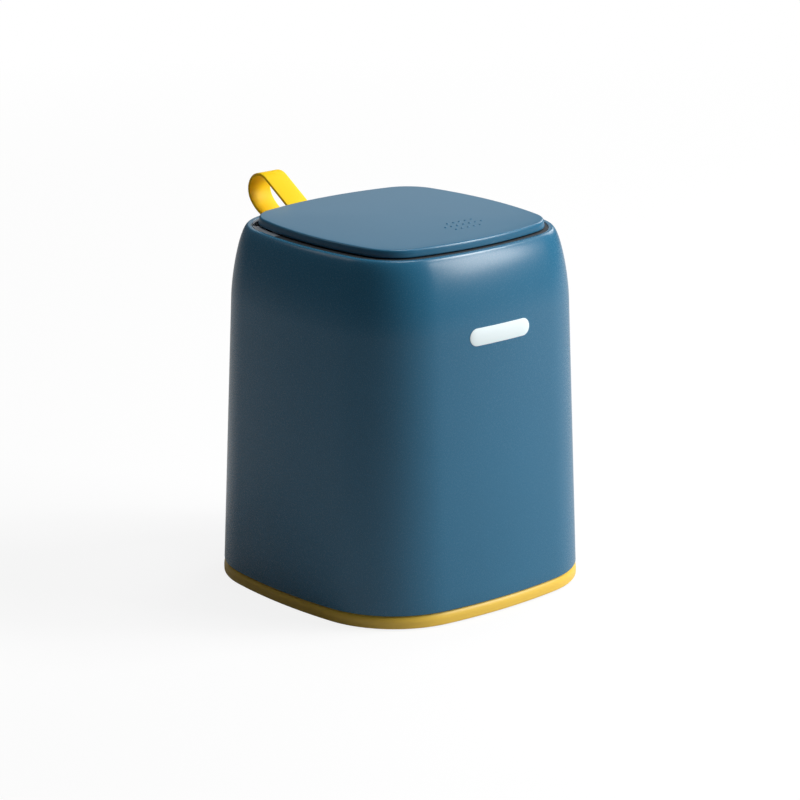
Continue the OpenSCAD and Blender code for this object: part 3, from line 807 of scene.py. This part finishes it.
def buildPill():
    long, high = pill["length"], pill["height"]
    # drawn in front of the shell, then pressed back onto it
    obj = addPanel(long, high, (pill["across"], -shell["footHalf"] - 1, pill["middle"]))
    bpy.ops.object.mode_set(mode="EDIT")
    bpy.ops.mesh.select_all(action="SELECT")
    bpy.ops.mesh.bevel(offset=high * pill["endRound"] * mm, affect="VERTICES", segments=16)
    for i in range(1, pill["cuts"]):
        x = pill["across"] + long * (i / pill["cuts"] - 0.5)
        bpy.ops.mesh.select_all(action="SELECT")
        bpy.ops.mesh.bisect(plane_co=(x * mm, 0, 0), plane_no=(1, 0, 0))
    bpy.ops.object.mode_set(mode="OBJECT")
    applyModifier(obj, "SHRINKWRAP", target=shellSkin, wrap_method="PROJECT", use_project_y=True,
                  use_negative_direction=True, offset=-pill["sink"] * mm)
    applyModifier(obj, "SOLIDIFY", thickness=(pill["proud"] + pill["sink"]) * mm, offset=1)
    applyModifier(obj, "BEVEL", width=pill["edgeRound"] * mm, segments=2, limit_method="ANGLE",
                  angle_limit=radians(60))
    return dress(obj, "frontPill", pillPrint, "shell", "latch_plastic")


frontPill = buildPill()
print("pill made")


# thin ring that closes the gap round the lid: grey along the back, lightened as painted light, and
# dark in front, where the dark colour is painted shade so that the gap reads dark

well = {
    "half": 58.9,
    "corner": 27.0,
    "bow": 198.0,
    "from": 55.8,
    "to": 59.85,
    "legFrom": 58.95,
    "legTo": 59.6,
    "legDepth": 4.8,  # below the rim
    "topDepth": 0.15,
    "thick": 0.3,
    "shoulder": 0.55,
    "ease": 0.1,
    "greyFromY": 21.0,
    "hinge": (41.0, 169.6),
    "sweep": 76.0,  # degrees
    "sweepSteps": 38,
    "sweepPlay": 0.25,
    "blockHalf": 100.0,  # half width and height of the blocks that cut the ring in two
    "blockHeight": 20.0,
}


def wellSection(half, height):
    more = half - well["half"]
    return [half, well["corner"] + more, well["bow"] + more, height]


def wellRing():
    top, low = rimHeight - well["topDepth"], rimHeight - well["legDepth"]
    inner, outer, ease = well["from"], well["to"], well["ease"]
    legIn, legOut, under = well["legFrom"], well["legTo"], top - well["thick"]
    profile = [(inner, under), (inner, top - ease), (inner + ease, top), (outer - ease, top),
               (outer, top - ease), (outer, under), (legOut, top - well["shoulder"]),
               (legOut, low), (legIn, low), (legIn, under), (inner, under)]
    return loftRings([wellSection(half, height) for half, height in profile], joined=True)


# room for the back of the lid, which swings down past the ring
def cutLidSweep(obj):
    hinge = Vector((0, *well["hinge"])) * mm
    half = lidHalf + well["sweepPlay"]
    sections = [lidSection(half, rimHeight + lid["lowRise"]), lidSection(half, lidTop)]
    for i in range(1, well["sweepSteps"] + 1):
        swung = loftRings(sections, back=lid["back"])
        turn = Matrix.Rotation(-radians(well["sweep"]) * i / well["sweepSteps"], 4, "X")
        swung.matrix_world = Matrix.Translation(hinge) @ turn @ Matrix.Translation(-hinge)
        applyPlace()
        cutAway(obj, swung)


def buildWellRing():
    y, far, high = well["greyFromY"], well["blockHalf"], well["blockHeight"]
    trim = wellRing()
    cutAway(trim, addBlock((2 * far, far + y, high), (0, (y - far) / 2, rimHeight)))
    cutLidSweep(trim)
    shadeRing = wellRing()
    cutAway(shadeRing, addBlock((2 * far, far - y, high), (0, (far + y) / 2, rimHeight)))
    # the back part of the ring: grey lightened as painted light
    dress(trim, "wellTrimPaintedLight", trimGreyPaintedLight, "shell", "frame_grey")
    # the front part of the ring: dark as painted shade in the gap
    dress(shadeRing, "wellFrontPaintedShade", frontRingPaintedShade, "shell", "foot_rubber")


buildWellRing()
print("well ring made")


# coil under the latch slider, built at one length: it does not shorten here as the slider goes down

latchSpring = {
    "coil": 1.9,
    "wire": 0.55,
    "wireSides": 10,
    "curls": 4,
    "middle": -52.2,
    "steps": 24,
    "travel": 2.0,
}


def buildLatchSpring():
    low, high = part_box("latch_spring")
    wire, curls, steps = latchSpring["wire"] * mm, latchSpring["curls"], latchSpring["steps"]
    middle, height = latchSpring["middle"] * mm, high.z - low.z
    deselectAll()
    bpy.ops.mesh.primitive_circle_add(
        vertices=latchSpring["wireSides"], radius=wire / 2, rotation=(pi / 2, 0, 0),
        location=(latchSpring["coil"] * mm, 0, low.z + wire / 2))
    obj = bpy.context.object
    applyPlace()
    applyModifier(obj, "SCREW", axis="Z", angle=2 * pi, screw_offset=(height - wire) / curls,
                  iterations=curls, steps=steps, render_steps=steps)
    bpy.ops.object.mode_set(mode="EDIT")
    bpy.ops.mesh.select_all(action="SELECT")
    bpy.ops.mesh.remove_doubles(threshold=weldGap)
    bpy.ops.mesh.fill_holes(sides=0)
    bpy.ops.mesh.normals_make_consistent(inside=False)
    bpy.ops.object.mode_set(mode="OBJECT")
    obj.location.y = middle
    dress(obj, "latchCoil", springSteel, "shell", "spring_steel", "latch_spring")
    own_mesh(obj)


buildLatchSpring()
print("latch spring made")


# the nodes that keep their own shape

nodeFinish = {
    "top_frame": framePolypropylene,
    "lid_liner": framePolypropylene,
    "foot_ring": footRubber,
    "front_bumpers": footRubber,
    "strap_clamp": latchAcetal,
    "latch_housing": latchAcetal,
    "latch_cover": latchAcetal,
    "striker": strikerAcetal,
    "latch_slider": sliderAcetal,
    "hinge_pin": zincSteel,
    "frame_screws": zincSteel,
    "strap_screws": zincSteel,
    "latch_screws": zincSteel,
    "liner_screws": zincSteel,
    "striker_screws": zincSteel,
    "latch_cam_pin": zincSteel,
    "torsion_spring_left": springSteel,
    "torsion_spring_right": springSteel,
}
for name, material in nodeFinish.items():
    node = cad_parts[name]
    node.data.materials.clear()
    node.data.materials.append(material)
print("nodes finished")


# studio: white sweep and soft boxes, placed by compass angle from +X and height angle round
# the bin, in degrees; its sizes are in metres and its powers in watts

studio = {
    "floorSize": 12.0,
    "paperRoughness": 0.9,
    "paperToBin": "#c0c0c0",
    "paperToCamera": "#ffffff",
    "fadeFrom": 0.3,  # from here to fadeTo the paper goes over into plain white
    "fadeTo": 1.4,
    "nearWhite": 0.86,  # share of plain white beside the bin
    "aim": (0, 0, 0.09),
    "reach": 1.6,
    "boxes": {
        "key": {"round": -29, "up": 47, "size": 0.3, "power": 7.5},
        "keyLeft": {"round": -42, "up": 46, "size": 0.2, "power": 5.6},
        "front": {"round": -50, "up": 25, "size": 0.7, "power": 16.8},
        "side": {"round": 20, "up": 25, "size": 0.7, "power": 5.0},
        "top": {"round": 0, "up": 80, "size": 0.6, "power": 8.2},
        "sheen": {"round": 50, "up": 16, "size": 0.4, "power": 0.3},
        "back": {"round": 125, "up": 45, "size": 0.6, "power": 1.4},
    },
    "dim": 0.12,  # how much of the white surround reaches reflections
}


def addSoftBox(name, box):
    turn, lift = radians(box["round"]), radians(box["up"])
    away = Vector((cos(turn) * cos(lift), sin(turn) * cos(lift), sin(lift))) * studio["reach"]
    deselectAll()
    bpy.ops.object.light_add(type="AREA", location=Vector(studio["aim"]) + away)
    light = bpy.context.object
    light.name = name + "Light"
    light.data.shape = "SQUARE"
    light.data.size = box["size"]
    light.data.energy = box["power"]
    light.rotation_euler = (-away).to_track_quat("-Z", "Y").to_euler()


# how white a camera ray or a mirrored ray finds what surrounds the bin
def whiteSeen(tree, path, direct):
    mirrored = addNode(tree, "ShaderNodeMath", {"operation": "MULTIPLY", 1: studio["dim"]},
                       {0: path.outputs["Is Glossy Ray"]})
    return addNode(tree, "ShaderNodeMath", {"operation": "MAXIMUM"},
                   {0: direct, 1: mirrored.outputs[0]})


def addFloor():
    deselectAll()
    bpy.ops.mesh.primitive_plane_add(size=studio["floorSize"], location=(0, 0, 0))
    floor = bpy.context.object
    floor.name = "floor"
    # matt paper: it takes a soft shadow and gives no reflection
    material, tree, principled = newMaterial("white paper sweep",
                                             Roughness=studio["paperRoughness"])
    path = addNode(tree, "ShaderNodeLightPath")
    # grey to the bin, so that little light bounces up, and white to the camera
    tone = addNode(tree, "ShaderNodeMix",
                   {"data_type": "RGBA", 6: linear(studio["paperToBin"]),
                    7: linear(studio["paperToCamera"])},
                   {0: path.outputs["Is Camera Ray"]})
    tree.links.new(tone.outputs[2], principled.inputs["Base Color"])
    glow = addNode(tree, "ShaderNodeEmission", {"Color": (1, 1, 1, 1), "Strength": 1})
    # near the bin the camera sees plain white with a part of the lit paper: the shadow stays
    place = addNode(tree, "ShaderNodeTexCoord").outputs["Object"]
    away = addNode(tree, "ShaderNodeVectorMath", {"operation": "LENGTH"}, {0: place})
    fade = addNode(tree, "ShaderNodeMapRange",
                   {"From Min": studio["fadeFrom"], "From Max": studio["fadeTo"],
                    "To Min": studio["nearWhite"], "To Max": 1.0},
                   {"Value": away.outputs["Value"]})
    direct = addNode(tree, "ShaderNodeMath", {"operation": "MULTIPLY"},
                     {0: path.outputs["Is Camera Ray"], 1: fade.outputs["Result"]})
    seen = whiteSeen(tree, path, direct.outputs[0])
    mix = addNode(tree, "ShaderNodeMixShader", None,
                  {0: seen.outputs[0], 1: principled.outputs[0], 2: glow.outputs[0]})
    tree.links.new(mix.outputs[0], tree.nodes["Material Output"].inputs["Surface"])
    floor.data.materials.append(material)


def addSurround():
    world = bpy.data.worlds.new("studio surround")
    bpy.context.scene.world = world
    world.use_nodes = True
    tree = world.node_tree
    path = addNode(tree, "ShaderNodeLightPath")
    seen = whiteSeen(tree, path, path.outputs["Is Camera Ray"])
    clear = addNode(tree, "ShaderNodeMath", {"operation": "MAXIMUM"},
                    {0: seen.outputs[0], 1: path.outputs["Is Transmission Ray"]})
    background = tree.nodes["Background"].inputs
    tree.links.new(clear.outputs[0], background["Strength"])
    background["Color"].default_value = (1, 1, 1, 1)


for name, box in studio["boxes"].items():
    addSoftBox(name, box)
addFloor()
addSurround()
bpy.context.scene.view_settings.view_transform = "Standard"
print("studio made")
